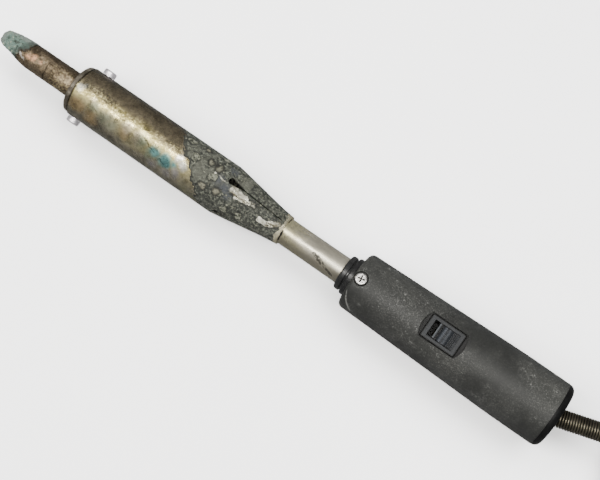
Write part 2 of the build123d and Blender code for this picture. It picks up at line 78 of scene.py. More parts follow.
def make_camera():
    """Nearly overhead, the iron's tip to the upper left, as it lies in the picture."""
    roll, lean, slope = (math.radians(a) for a in (CAMERA_ROLL, CAMERA_LEAN, CAMERA_SLOPE))
    out = Vector((0, math.sin(roll), math.cos(roll)))
    across = Vector((0, math.cos(roll), -math.sin(roll)))
    ahead = Vector((1, 0, 0)) * math.sin(lean) - out * math.cos(lean)
    along = Vector((1, 0, 0)) * math.cos(lean) + out * math.sin(lean)
    right = -along * math.cos(slope) - across * math.sin(slope)
    up = along * math.sin(slope) - across * math.cos(slope)
    data = bpy.data.cameras.new("camera")
    data.lens = LENS
    data.sensor_width = SENSOR
    data.clip_start = 0.01
    camera = bpy.data.objects.new("camera", data)
    scene.collection.objects.link(camera)
    place = spot(CAMERA_AIM) + out * CAMERA_REACH - across * CAMERA_SIDE
    turn = Matrix((right, up, -ahead)).transposed().to_4x4()
    camera.matrix_world = Matrix.Translation(place) @ turn
    scene.camera = camera


make_camera()


# --- cord -------------------------------------------------------------------------------------
# The cord's control points, as spot() takes them: out of the cap, over the hank, to the plug.
CORD_ROUTE = [
    (10.0, 0, 0),
    (4.0, 0, 0),
    (-2.0, -0.9, 0),
    (-13.0, -4.3, 0.0),
    (-34.0, -10.4, 0.1),
    (-53.5, -13.6, -1.6),
    (-71.5, -13.8, -8.2),
    (-88.0, -13.6, -14.2),
]
TOP_PASS = [(-124.0, -17.3, -1.2)]
TAIL_ROUTE = [
    (-144.0, -17.2, -0.7),
    (-155.5, -16.6, -0.7),
    (-167.0, -15.0, 0.0),
    (-178.5, -15.0, 0.0),
]
# The hank is a loop with a waist. Each turn lies in its own slot: so far outwards, so far up.
HANK_LOOP_R, HANK_WAIST_R, HANK_REACH = 21.6, 30.0, 39.2
HANK_X, HANK_Y, FLOOR = -104.4, -10.0, -18.7
HANK_SLOTS = [(0.0, 3.6), (7.2, 3.6), (7.2, 10.8), (0.0, 10.8), (3.6, 17.5)]
# The control point at which a turn starts to move over, how many points sooner each next turn
# does so, and how many points it takes.
CROSS_START, CROSS_SOONER, CROSS_OVER = 10.2, 1.2, 2.6


def arc_points(centre, radius, start, sweep, count):
    """Control points whose smooth curve follows an arc: the corners of the polygon round it."""
    step = sweep / count
    for index in range(count):
        angle = math.radians(start + step * (index + 0.5))
        reach = radius / math.cos(math.radians(step / 2))
        yield centre[0] + reach * math.cos(angle), centre[1] + reach * math.sin(angle)


def half_turn(out):
    """From the waist on the -Y side, round the far loop, to the waist on the +Y side."""
    across = CORD_D / MM / 2 + HANK_WAIST_R
    tilt = math.degrees(math.atan2(HANK_REACH, across))
    points = list(arc_points((0, -across), HANK_WAIST_R - out, 90, tilt, 2))
    loop_start = tilt - 90
    points += arc_points((-HANK_REACH, 0), HANK_LOOP_R + out, loop_start, -180 - 2 * tilt, 10)
    points += arc_points((0, across), HANK_WAIST_R - out, -90 - tilt, tilt, 2)
    return points


def hank_points():
    """Four turns of the hank; on the near loop each moves over to the next one's slot."""
    points = []
    for turn, ((out, level), (next_out, next_level)) in enumerate(zip(HANK_SLOTS, HANK_SLOTS[1:])):
        here, there = half_turn(out), half_turn(next_out)
        points += [(px, py, level) for px, py in here]
        for index, ((ax, ay), (bx, by)) in enumerate(zip(here, there)):
            share = (index - CROSS_START + CROSS_SOONER * turn) / CROSS_OVER
            share = min(max(share, 0.0), 1.0)
            share = share * share * (3 - 2 * share)
            px, py = ax + (bx - ax) * share, ay + (by - ay) * share
            points.append((-px, -py, level + (next_level - level) * share))
    return [(HANK_X + px, HANK_Y + py, FLOOR + level) for px, py, level in points]


def make_cord():
    """The whole lead as one spline."""
    route = [spot(*p) for p in CORD_ROUTE + hank_points() + TOP_PASS + TAIL_ROUTE]
    data = bpy.data.curves.new("mains_cord", "CURVE")
    data.dimensions = "3D"
    spline = data.splines.new("NURBS")
    spline.points.add(len(route) - 1)
    for point, place in zip(spline.points, route):
        point.co = (*place, 1.0)
        point.radius = CORD_D / 2
    spline.order_u = 3
    spline.use_endpoint_u = True
    spline.resolution_u = 6
    data.bevel_depth = 1.0
    data.bevel_resolution = 6
    data.use_fill_caps = True
    cord = bpy.data.objects.new("mains_cord", data)
    scene.collection.objects.link(cord)
    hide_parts("power_cord", "cord_hank", "cord_tail")
    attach(cord, "iron")
    return cord


def spline_line(cord):
    """The cord's centreline as points, read from its own spline."""
    bare = cord.copy()
    bare.data = cord.data.copy()
    bare.data.bevel_depth = 0.0
    line = bpy.data.meshes.new_from_object(bare)
    points = [vertex.co.copy() for vertex in line.vertices]
    bpy.data.meshes.remove(line)
    data = bare.data
    bpy.data.objects.remove(bare)
    bpy.data.curves.remove(data)
    return points


cord = make_cord()
cord_line = spline_line(cord)


# --- meshes -----------------------------------------------------------------------------------
def new_piece(name, points, faces, body="iron", replaces=()):
    """A smooth-shaded object that stands for CAD nodes and moves with a body."""
    mesh = bpy.data.meshes.new(name)
    mesh.from_pydata([tuple(p) for p in points], [], faces)
    mesh.validate()
    mesh.shade_smooth()
    piece = bpy.data.objects.new(name, mesh)
    scene.collection.objects.link(piece)
    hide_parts(*replaces)
    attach(piece, body)
    return piece


def heading(line, index):
    """The direction of a line of points at one of them."""
    return (line[min(index + 1, len(line) - 1)] - line[max(index - 1, 0)]).normalized()


def joined(rings, sides):
    """The faces between rings of points, one ring after another, with closed ends."""
    faces = []
    for index in range(rings - 1):
        for step in range(sides):
            a, b = index * sides + step, index * sides + (step + 1) % sides
            faces.append((a, b, b + sides, a + sides))
    last = (rings - 1) * sides
    faces.append(tuple(range(sides - 1, -1, -1)))
    faces.append(tuple(range(last, last + sides)))
    return faces


def tube_mesh(line, radius, sides):
    """Points and faces of a round wire along a line."""
    points, normal = [], Vector((0, 0, 1))
    for index, place in enumerate(line):
        along = heading(line, index)
        normal = (normal - along * normal.dot(along)).normalized()
        side = along.cross(normal)
        for step in range(sides):
            angle = 2 * math.pi * step / sides
            points.append(place + (normal * math.cos(angle) + side * math.sin(angle)) * radius)
    return points, joined(len(line), sides)


# --- strain relief spring ---------------------------------------------------------------------
SPRING_WIRE_R, SPRING_MEAN_R, SPRING_PITCH = 0.62 * MM, 4.7 * MM, 1.4 * MM
SPRING_START, SPRING_LENGTH = 4.4 * MM, 36.0 * MM
SPRING_STEPS, SPRING_SIDES = 24, 8  # points to a turn, and sides to the wire


def walk(line, distance):
    """The point and direction at a distance along a line of points."""
    for start, end in zip(line, line[1:]):
        step = (end - start).length
        if distance <= step:
            return start.lerp(end, distance / step), (end - start).normalized()
        distance -= step
    return line[-1].copy(), (line[-1] - line[-2]).normalized()


def make_spring():
    """The wound strain relief, from its seat in the end cap out along the cord."""
    count = int(SPRING_LENGTH / SPRING_PITCH * SPRING_STEPS)
    helix = []
    for step in range(count + 1):
        place, along = walk(cord_line, SPRING_START + SPRING_LENGTH * step / count)
        up = Vector((0, 0, 1))
        up = (up - along * up.dot(along)).normalized()
        side = along.cross(up)
        angle = 2 * math.pi * step / SPRING_STEPS
        helix.append(place + (up * math.cos(angle) + side * math.sin(angle)) * SPRING_MEAN_R)
    points, faces = tube_mesh(helix, SPRING_WIRE_R, SPRING_SIDES)
    new_piece("relief_spring", points, faces, replaces=["strain_relief_spring"])


make_spring()


# --- strap round the hank ---------------------------------------------------------------------
STRAP_WIDTH, STRAP_THICK = 10.0 * MM, 1.2 * MM
STRAP_GAP, STRAP_FOOT, STRAP_OPEN = 0.3 * MM, 0.2 * MM, 5.0 * MM
TONGUE_BEFORE, TONGUE_AFTER = 8, 14  # outline points on either side of the top


def waist_outline():
    """The outline, in Y and Z, of a belt drawn tight over the hank's passes at its waist."""
    rim, gap, steps = [], CORD_D / 2 + STRAP_GAP, 48
    for reach in (-0.5, 0.0, 0.5):
        plane = x(HANK_X) + reach * STRAP_WIDTH
        for start, end in zip(cord_line, cord_line[1:]):
            if (start.x - plane) * (end.x - plane) < 0:
                at = start.lerp(end, (plane - start.x) / (end.x - start.x))
                for step in range(steps):
                    angle = 2 * math.pi * step / steps
                    rim.append((at.y + gap * math.cos(angle), at.z + gap * math.sin(angle)))
    hull = [rim[index] for index in geometry.convex_hull_2d(rim)]
    low = min(range(len(hull)), key=lambda index: hull[index][1])
    return [Vector((0, y, z)) for y, z in hull[low:] + hull[:low]]


def band(line, width, low, high):
    """Points and faces of a flat band along a line in Y and Z, between two heights over it."""
    points = []
    for index, place in enumerate(line):
        along = heading(line, index)
        out = Vector((0, along.z, -along.y))
        for side, height in ((-1, low), (-1, high), (1, high), (1, low)):
            shift = Vector((x(HANK_X) + side * width / 2, 0, 0))
            points.append(place + out * height + shift)
    return points, joined(len(line), 4)


def make_strap():
    """The strap up one side of the waist, over its top and down the other, with its tongue."""
    rise = [p for p in waist_outline() if p.z > AXIS_Z + FLOOR * MM + STRAP_OPEN]
    foot_in, foot_out = (Vector((0, p.y, STRAP_FOOT)) for p in (rise[0], rise[-1]))
    rise = [foot_in] + rise + [foot_out]
    top = max(range(len(rise)), key=lambda index: rise[index].z)
    points, faces = band(rise, STRAP_WIDTH, 0.0, STRAP_THICK)
    tongue = rise[top - TONGUE_BEFORE : top + TONGUE_AFTER]
    more, more_faces = band(tongue, 0.8 * STRAP_WIDTH, 0.9 * STRAP_THICK, 1.8 * STRAP_THICK)
    faces += [tuple(index + len(points) for index in face) for face in more_faces]
    strap = new_piece("strap_band", points + more, faces, replaces=["cord_tie"])
    strap.data.set_sharp_from_angle(angle=0.6)


make_strap()


# --- soldering bit ----------------------------------------------------------------------------
def curve(table, at):
    """The value at a distance, from a table of (distance, value) pairs."""
    for (x0, v0), (x1, v1) in zip(table, table[1:]):
        if at <= x1:
            return v0 + (v1 - v0) * max((at - x0) / (x1 - x0), 0.0)
    return table[-1][1]


# Where the bit starts, where its worn part, its scabs and its rounded nose start, and its end.
BIT_REAR, BIT_WORN, BIT_SCABS, BIT_NOSE, BIT_END = 236.0, 317.0, 352.0, 367.6, 371.34
BIT_R, BIT_WORN_R, BIT_CHAMFER = 7.8, 7.98, 0.8
NOSE_LENGTH, NOSE_DROP, SCABS_OVER, TIP_BULGE = 3.8, 0.72, 6.0, 0.02
STRAIGHT_STATIONS = [BIT_REAR, 236.3, 236.8, 260, 300, 316.95]
WORN_STATIONS = [317.05] + [317.5 + 0.5 * i for i in range(108)] + [BIT_END]
# The point is a blend of the round shank and four sides: the higher the power, the sharper.
BIT_POWER, BIT_TWIST = 14, 7
# Each side faces its own way, in degrees. It lies so far from the axis at each distance.
BIT_SIDES = [
    (0, [(352.5, 8.1), (362, 6.2), (371.4, 4.1)]),
    (90, [(350.5, 8.1), (354, 7.4), (360.4, 5.5), (366, 4.5), (371.4, 3.3)]),
    (180, [(352.5, 8.1), (362, 6.2), (371.4, 4.1)]),
    (270, [(355.5, 8.1), (358.5, 7.7), (366.9, 5.9), (371.4, 4.1)]),
]


def worn_radius(station, roll):
    """The bit's radius where it is worn: four-sided to the point, with dents and scabs."""
    press = (1 / BIT_WORN_R) ** BIT_POWER
    for facing, table in BIT_SIDES:
        toward = math.cos(math.radians(roll - facing - BIT_TWIST))
        if toward > 0.2:
            press += (toward / curve(table, station)) ** BIT_POWER
    radius = press ** (-1 / BIT_POWER)
    nose = max((station - BIT_NOSE) / NOSE_LENGTH, 0.0)
    radius *= math.sqrt(max(1 - NOSE_DROP * nose * nose, 0.0))
    angle = math.radians(roll)
    at = Vector((station, radius * math.sin(angle), radius * math.cos(angle)))
    scab = min(max((station - BIT_SCABS) / SCABS_OVER, 0.0), 1.0)
    dents = noise.noise(at * 0.45) * 0.16 + noise.noise(at * 1.3) * 0.07
    scabs = noise.noise(at * 0.8) * 0.38 + noise.noise(at * 2.3) * 0.22
    return min(radius - 0.05 - 0.25 * scab + dents + scabs * scab, BIT_WORN_R)


def make_bit():
    """The worn bit: dented, its point lopsided, its nose rounded off and scabbed."""
    stations = STRAIGHT_STATIONS + WORN_STATIONS
    sides, points, faces = 72, [], []
    for station in stations:
        chamfer = max(BIT_CHAMFER - (station - BIT_REAR), 0.0) * 0.6
        for step in range(sides):
            roll = 360 * step / sides
            radius = BIT_R - chamfer if station < BIT_WORN else worn_radius(station, roll)
            points.append(on_skin(station, radius, roll))
    for index in range(len(stations) - 1):
        for step in range(sides):
            a, b = index * sides + step, index * sides + (step + 1) % sides
            faces.append((a, a + sides, b + sides, b))
    last = (len(stations) - 1) * sides
    points += [spot(BIT_REAR), spot(BIT_END + TIP_BULGE)]
    for step in range(sides):
        after = (step + 1) % sides
        faces.append((step, after, len(points) - 2))
        faces.append((last + after, last + step, len(points) - 1))
    new_piece("worn_bit", points, faces, "bit", ["soldering_bit"])


make_bit()


# --- materials --------------------------------------------------------------------------------
class Look:
    """A material and its nodes. Values that are the same all over go on the shader itself.

    Colours are linear. Distances are in millimetres, along the iron as spot() takes them, and
    noise scales are per metre. A span's two ends may be given falling, to turn it round.
    """

    def __init__(self, name, **uniform):
        self.material = bpy.data.materials.new(name)
        self.material.use_nodes = True
        self.tree = self.material.node_tree
        self.shader = self.tree.nodes["Principled BSDF"]
        for key, value in uniform.items():
            self.shader.inputs[key.replace("_", " ")].default_value = value
        self.place = self.add("ShaderNodeTexCoord").outputs["Object"]

    def add(self, kind, **settings):
        node = self.tree.nodes.new(kind)
        for key, value in settings.items():
            setattr(node, key, value)
        return node

    def feed(self, socket, value):
        """Link a socket or set a value; None leaves the socket as it is."""
        if isinstance(value, bpy.types.NodeSocket):
            self.tree.links.new(value, socket)
        elif value is not None:
            socket.default_value = value

    def noise(self, scale, detail=4.0, roughness=0.55, distortion=0.0, at=None):
        """A noise value from 0 to 1, mostly near 0.5."""
        node = self.add("ShaderNodeTexNoise")
        self.feed(node.inputs["Vector"], at or self.place)
        node.inputs["Scale"].default_value = scale
        node.inputs["Detail"].default_value = detail
        node.inputs["Roughness"].default_value = roughness
        node.inputs["Distortion"].default_value = distortion
        return node.outputs["Fac"]

    def stretched(self, sx, sy, sz, turn=(0, 0, 0)):
        """The place on the surface, turned by degrees and scaled, to draw a noise out."""
        node = self.add("ShaderNodeMapping")
        self.feed(node.inputs["Vector"], self.place)
        node.inputs["Rotation"].default_value = [math.radians(a) for a in turn]
        node.inputs["Scale"].default_value = (sx, sy, sz)
        return node.outputs["Vector"]

    def ramp(self, value, *stops):
        """Colours, or plain greys, between the (position, colour) stops."""
        node = self.add("ShaderNodeValToRGB")
        self.feed(node.inputs["Fac"], value)
        ramp = node.color_ramp
        while len(ramp.elements) < len(stops):
            ramp.elements.new(0.5)
        for element, (at, colour) in zip(ramp.elements, stops):
            element.position = at
            grey = isinstance(colour, (int, float))
            element.color = (colour, colour, colour, 1) if grey else (*colour, 1)
        return node.outputs["Color"]

    def span(self, value, low, high, to_low=0.0, to_high=1.0, smooth=True):
        """The value's way from low to high, told from to_low to to_high and held there."""
        kind = "SMOOTHSTEP" if smooth else "LINEAR"
        node = self.add("ShaderNodeMapRange", interpolation_type=kind)
        self.feed(node.inputs["Value"], value)
        names = ("From Min", "From Max", "To Min", "To Max")
        for key, number in zip(names, (low, high, to_low, to_high)):
            node.inputs[key].default_value = number
        return node.outputs["Result"]

    def reckon(self, operation, a, b=None):
        node = self.add("ShaderNodeMath", operation=operation)
        self.feed(node.inputs[0], a)
        self.feed(node.inputs[1], b)
        return node.outputs[0]

    def times(self, a, b):
        return self.reckon("MULTIPLY", a, b)

    def plus(self, a, b):
        return self.reckon("ADD", a, b)

    def minus(self, a, b):
        return self.reckon("SUBTRACT", a, b)

    def absolute(self, value):
        return self.reckon("ABSOLUTE", value)

    def most(self, *values):
        total = values[0]
        for value in values[1:]:
            total = self.reckon("MAXIMUM", total, value)
        return total

    def mix(self, share, a, b, blend="MIX"):
        """Colour a with b over it, as strongly as share says."""
        node = self.add("ShaderNodeMix", data_type="RGBA", blend_type=blend)
        self.feed(node.inputs[0], share)
        for socket, value in ((node.inputs[6], a), (node.inputs[7], b)):
            self.feed(socket, (*value, 1) if isinstance(value, tuple) else value)
        return node.outputs[2]

    def axes(self):
        """The distances along and across the iron, and the height Z, which stays in metres."""
        node = self.add("ShaderNodeSeparateXYZ")
        self.feed(node.inputs[0], self.place)
        along = self.times(self.minus(node.outputs[0], REAR_X), 1 / MM)
        return along, self.times(node.outputs[1], 1 / MM), node.outputs[2]

    def warped(self, scale, amount, detail=4.0):
        """The place on the surface, shaken about by noise, so that a shape's edge is ragged."""
        shake = self.add("ShaderNodeTexNoise")
        self.feed(shake.inputs["Vector"], self.place)
        shake.inputs["Scale"].default_value = scale
        shake.inputs["Detail"].default_value = detail
        shift = self.add("ShaderNodeVectorMath", operation="SUBTRACT")
        self.feed(shift.inputs[0], shake.outputs["Color"])
        shift.inputs[1].default_value = (0.5, 0.5, 0.5)
        moved = self.add("ShaderNodeVectorMath", operation="MULTIPLY_ADD")
        self.feed(moved.inputs[0], shift.outputs[0])
        moved.inputs[1].default_value = (amount * MM,) * 3
        self.feed(moved.inputs[2], self.place)
        return moved.outputs[0]

    def near(self, point, low, high, at=None):
        """1 nearer than low to a point, falling to 0 at high."""
        node = self.add("ShaderNodeVectorMath", operation="DISTANCE")
        self.feed(node.inputs[0], at or self.place)
        node.inputs[1].default_value = point
        return self.span(node.outputs["Value"], low * MM, high * MM, 1.0, 0.0)

    def patches(self, radius, at, places):
        """1 in the patches round skin places (distance, roll, low, high), 0 elsewhere."""
        return self.most(
            *(self.near(on_skin(d, radius, roll), low, high, at) for d, roll, low, high in places)
        )

    def stroke(self, at, radius, path, low, high):
        """1 nearer than low to a line of skin places (distance, roll), falling to 0 at high."""
        places = [on_skin(distance, radius, roll) for distance, roll in path]
        runs = []
        for start, end in zip(places, places[1:]):
            line = end - start
            ahead = self.add("ShaderNodeVectorMath", operation="SUBTRACT")
            self.feed(ahead.inputs[0], at)
            ahead.inputs[1].default_value = start
            part = self.add("ShaderNodeVectorMath", operation="DOT_PRODUCT")
            self.feed(part.inputs[0], ahead.outputs[0])
            part.inputs[1].default_value = line / line.length_squared
            share = self.span(part.outputs["Value"], 0.0, 1.0, smooth=False)
            foot = self.add("ShaderNodeVectorMath", operation="SCALE")
            foot.inputs[0].default_value = line
            self.feed(foot.inputs["Scale"], share)
            gap = self.add("ShaderNodeVectorMath", operation="DISTANCE")
            self.feed(gap.inputs[0], ahead.outputs[0])
            self.feed(gap.inputs[1], foot.outputs[0])
            runs.append(self.span(gap.outputs["Value"], low * MM, high * MM, 1.0, 0.0))
        return self.most(*runs)

    def strokes(self, at, *lines):
        """Several strokes together, each given as (radius, path, low, high)."""
        return self.most(*(self.stroke(at, *line) for line in lines))

    def cells(self, scale, at):
        """Flakes: the distance from each one's middle, and a chance number for each one."""
        node = self.add("ShaderNodeTexVoronoi")
        self.feed(node.inputs["Vector"], at)
        node.inputs["Scale"].default_value = scale
        parts = self.add("ShaderNodeSeparateColor")
        self.feed(parts.inputs[0], node.outputs["Color"])
        return node.outputs["Distance"], parts.outputs[0]

    def bump(self, height, distance, strength=1.0, after=None):
        """The normal over a relief this many millimetres deep, on top of another normal."""
        node = self.add("ShaderNodeBump")
        self.feed(node.inputs["Height"], height)
        node.inputs["Distance"].default_value = distance * MM
        node.inputs["Strength"].default_value = strength
        self.feed(node.inputs["Normal"], after)
        return node.outputs["Normal"]

    def finish(self, colour, roughness=None, metallic=None, normal=None):
        self.feed(self.shader.inputs["Base Color"], colour)
        self.feed(self.shader.inputs["Roughness"], roughness)
        self.feed(self.shader.inputs["Metallic"], metallic)
        self.feed(self.shader.inputs["Normal"], normal)
        return self.material


def dress(material, *names):
    """Give a material to CAD pieces or to pieces made here."""
    for name in names:
        piece = nodes.get(name) or bpy.data.objects[name]
        piece.data.materials.clear()
        piece.data.materials.append(material)


BARREL_R = 15


def steel_tints(look, along, across, soft, ragged):
    """The barrel's heat colours: brown above, bronze, teal and lilac below; over them a painted
    highlight, a bright line along the top with cream glints, and painted shade darkening both
    flanks.
    """
    cloud = look.noise(55.0, 6.0, 0.65, 0.4, look.stretched(0.55, 1.0, 1.0))
    # Painted light over the heat colours: the ramp across the barrel is brightest just to the +Y
    # side of the top, as a painted highlight streak, and darkest on both flanks, as painted shade.
    drift = look.plus(across, look.span(cloud, 0.3, 0.7, -3.2, 3.2, smooth=False))
    steel = look.ramp(
        look.span(drift, -15.0, 15.0, smooth=False),
        (0.05, (0.105, 0.090, 0.062)),
        (0.26, (0.21, 0.175, 0.118)),
        (0.38, (0.28, 0.235, 0.155)),
        (0.455, (0.30, 0.25, 0.145)),
        (0.53, (0.40, 0.335, 0.135)),
        (0.62, (0.49, 0.425, 0.19)),
        (0.76, (0.46, 0.41, 0.235)),
        (0.88, (0.33, 0.30, 0.22)),
        (0.97, (0.18, 0.165, 0.125)),
    )
    for strength, tint, places in (
        (0.85, (0.40, 0.29, 0.15), [(307, 38, 2, 7), (298, 50, 1, 7), (276, 30, 0, 5)]),
        (0.75, (0.37, 0.39, 0.28), [(297, 20, 1, 5), (290, 26, 1, 6), (284, 34, 0, 5)]),
        (0.7, (0.42, 0.37, 0.27), [(276, 18, 1, 5), (268, 26, 1, 5), (300, 12, 0, 3)]),
        (0.9, (0.16, 0.42, 0.42), [(255, 24, 1, 5), (249, 31, 2, 6), (243, 28, 0, 4)]),
        (0.6, (0.24, 0.33, 0.25), [(264, 24, 0, 6), (258, 38, 0, 5)]),
        (0.8, (0.40, 0.38, 0.38), [(240, 44, 1, 5), (246, 54, 1, 5), (254, 52, 0, 5)]),
        # This row's patch at 310 mm lies on the highlight streak: painted highlight.
        (0.9, (0.62, 0.61, 0.54), [(237, 20, 1, 4), (241, 10, 1, 4), (310, 2, 1, 4)]),
        (0.6, (0.20, 0.205, 0.12), [(231, 62, 1, 6), (224, 74, 1, 6)]),
    ):
        share = look.times(look.patches(BARREL_R, soft, places), strength)
        steel = look.mix(share, steel, tint)
    steel = look.mix(look.span(along, 184.0, 180.0), steel, (0.55, 0.51, 0.36))
    seam = look.times(look.span(along, 312.3, 312.9), 0.85)
    steel = look.mix(seam, steel, (0.022, 0.019, 0.014))
    mottle = look.noise(260.0, 7.0, 0.75, 0.3)
    mottle = look.ramp(mottle, (0.32, 0.45), (0.5, 0.92), (0.66, 1.3))
    steel = look.mix(0.85, steel, mottle, "MULTIPLY")
    grain = look.noise(850.0, 5.0, 0.8)
    # Painted highlight: line is the streak along the top; the cream flecks, strongest on it, are
    # painted glints, and the pits gather on it too.
    line = look.stroke(soft, BARREL_R, [(313, 1), (296, -3), (272, 2), (246, -4)], 1.5, 5.0)
    flecks = look.times(look.span(grain, 0.52, 0.60), look.span(line, 0.0, 1.0, 0.08, 1.0))
    steel = look.mix(look.times(flecks, 0.8), steel, (0.95, 0.84, 0.45))
    pits = look.times(look.span(grain, 0.45, 0.37), look.span(line, 0.0, 1.0, 0.4, 0.8))
    steel = look.mix(pits, steel, (0.034, 0.029, 0.020))
    cracks = look.strokes(
        ragged,
        (BARREL_R, [(263, 17), (256, 28), (246, 41)], 0.1, 0.55),
        (BARREL_R, [(288, 3), (279, 9), (271, 14)], 0.0, 0.6),
        (BARREL_R, [(300, 18), (295, 27)], 0.0, 0.6),
    )
    return look.mix(look.times(cracks, 0.75), steel, (0.022, 0.019, 0.012))


def crust_tints(look, ragged):
    """Burnt crust: dark grey-green, with rimmed beige flakes and a smooth blue-grey part."""
    speck = look.noise(760.0, 6.0, 0.82)
    crust = look.ramp(
        speck,
        (0.38, (0.0025, 0.0030, 0.0022)),
        (0.46, (0.013, 0.0145, 0.0115)),
        (0.53, (0.036, 0.037, 0.030)),
        (0.60, (0.108, 0.113, 0.087)),
    )
    zone = look.span(look.noise(60.0, 4.0, 0.6, 0.5), 0.46, 0.60)
    crust = look.mix(zone, crust, look.mix(0.5, crust, (0.066, 0.067, 0.051)))
    places = [(217, -3, 1, 5), (212, 8, 1, 5), (208, 16, 0, 4), (213, -40, 1, 4)]
    smooth = look.patches(13.5, ragged, places)
    crust = look.mix(look.times(smooth, 0.8), crust, (0.031, 0.034, 0.038))
    for scale, size, share in ((135.0, 0.36, 0.58), (420.0, 0.32, 0.62)):
        middle, chance = look.cells(scale, look.warped(210.0, 9.0, 7.0))
        chosen = look.span(chance, share, share + 0.02)
        rim = look.times(look.span(middle, size + 0.13, size + 0.04), chosen)
        flake = look.times(look.span(middle, size, size - 0.05), chosen)
        flake = look.times(flake, look.span(speck, 0.42, 0.47))
        crust = look.mix(look.times(rim, 0.9), crust, (0.0075, 0.0080, 0.0065))
        beige = look.ramp(
            speck,
            (0.38, (0.028, 0.029, 0.021)),
            (0.50, (0.076, 0.078, 0.057)),
            (0.62, (0.170, 0.170, 0.130)),
        )
        crust = look.mix(flake, crust, beige)
    for tint, places in (
        ((0.110, 0.105, 0.074), [(223, 28, 1.2, 2.6), (215, 22, 1.0, 2.4), (232, -50, 0.6, 2.0)]),
        ((0.100, 0.097, 0.070), [(226, -25, 0.6, 2.2), (220, -22, 0.8, 2.4), (236, 22, 0.2, 1.4)]),
    ):
        rim = look.patches(14.5, ragged, [(d, a, high, high + 1.0) for d, a, _, high in places])
        crust = look.mix(look.times(rim, 0.85), crust, (0.0080, 0.0080, 0.0065))
        share = look.times(look.patches(14.5, ragged, places), look.span(speck, 0.4, 0.46))
        crust = look.mix(share, crust, tint)
    return crust, speck


def barrel_look():
    """Heat-tinted steel with a painted highlight streak and painted shade on its flanks, and burnt
    crust over the taper and the fingers with bare spots in it.
    """
    look = Look("barrel_heat_tinted")
    along, across, _ = look.axes()
    ragged = look.warped(300.0, 4.0, 7.0)
    soft = look.warped(85.0, 10.0, 7.0)
    steel = steel_tints(look, along, across, soft, ragged)
    crust, speck = crust_tints(look, ragged)
    # The crust ends in front along a ragged slanting line, with a dark outline, and behind just
    # before the fingers' ends. Bare streaks are worn through it, each with a dark halo.
    shore = look.times(look.minus(look.noise(150.0, 7.0, 0.6, 0.5), 0.5), 16.0)
    edge = look.plus(look.plus(along, look.times(across, 0.95)), shore)
    outline = look.times(look.span(edge, 238.6, 237.9), look.span(edge, 235.8, 236.8))
    tail = look.minus(along, look.times(shore, 0.8))
    covered = look.times(look.span(edge, 238.3, 237.8), look.span(tail, 175.6, 176.3))
    bare = look.strokes(
        ragged,
        (13.3, [(207.5, -4), (204, 0), (200, 1)], 1.8, 2.4),
        (12.6, [(204, 9), (199, 4), (193, -1)], 0.8, 1.4),
        (14.6, [(221, -9), (214, -7)], 0.2, 0.75),
        (10.0, [(187, 24), (182, 20), (177, 3)], 1.2, 1.9),
    )
    halo = look.strokes(
        ragged,
        (12.8, [(207.5, -2), (203, 4), (193, 0)], 1.9, 3.0),
        (9.8, [(187, 24), (182, 21), (177, 5)], 1.9, 3.0),
    )
    dark_line = look.most(look.times(outline, 0.75), look.times(halo, 0.7))
    bright = look.ramp(
        look.noise(230.0, 5.0, 0.7, 0.6, look.stretched(0.4, 1.2, 1.0, (0, 0, 18))),
        (0.36, (0.10, 0.092, 0.062)),
        (0.47, (0.42, 0.405, 0.32)),
        (0.60, (0.80, 0.79, 0.67)),
    )
    crust = look.mix(dark_line, crust, (0.006, 0.006, 0.005))
    worn = look.times(bare, covered)
    crust = look.mix(worn, crust, bright)
    colour = look.mix(covered, steel, crust)
    rough_steel = look.span(look.noise(140.0, 7.0, 0.7), 0.36, 0.64, 0.20, 0.56)
    roughness = look.add("ShaderNodeMix", data_type="FLOAT")
    scab = look.minus(covered, worn)
    for index, value in ((0, scab), (2, rough_steel), (3, 0.66)):
        look.feed(roughness.inputs[index], value)
    metal = look.span(scab, 0.0, 1.0, 0.95, 0.25)
    rugged = look.span(look.plus(along, across), 242.0, 236.0, 0.12, 1.0)
    waves = look.noise(75.0, 3.0, 0.5, 0.0, look.stretched(0.6, 1.0, 1.0))
    normal = look.bump(look.plus(look.times(speck, rugged), waves), 0.45)
    return look.finish(colour, roughness.outputs[0], metal, normal)


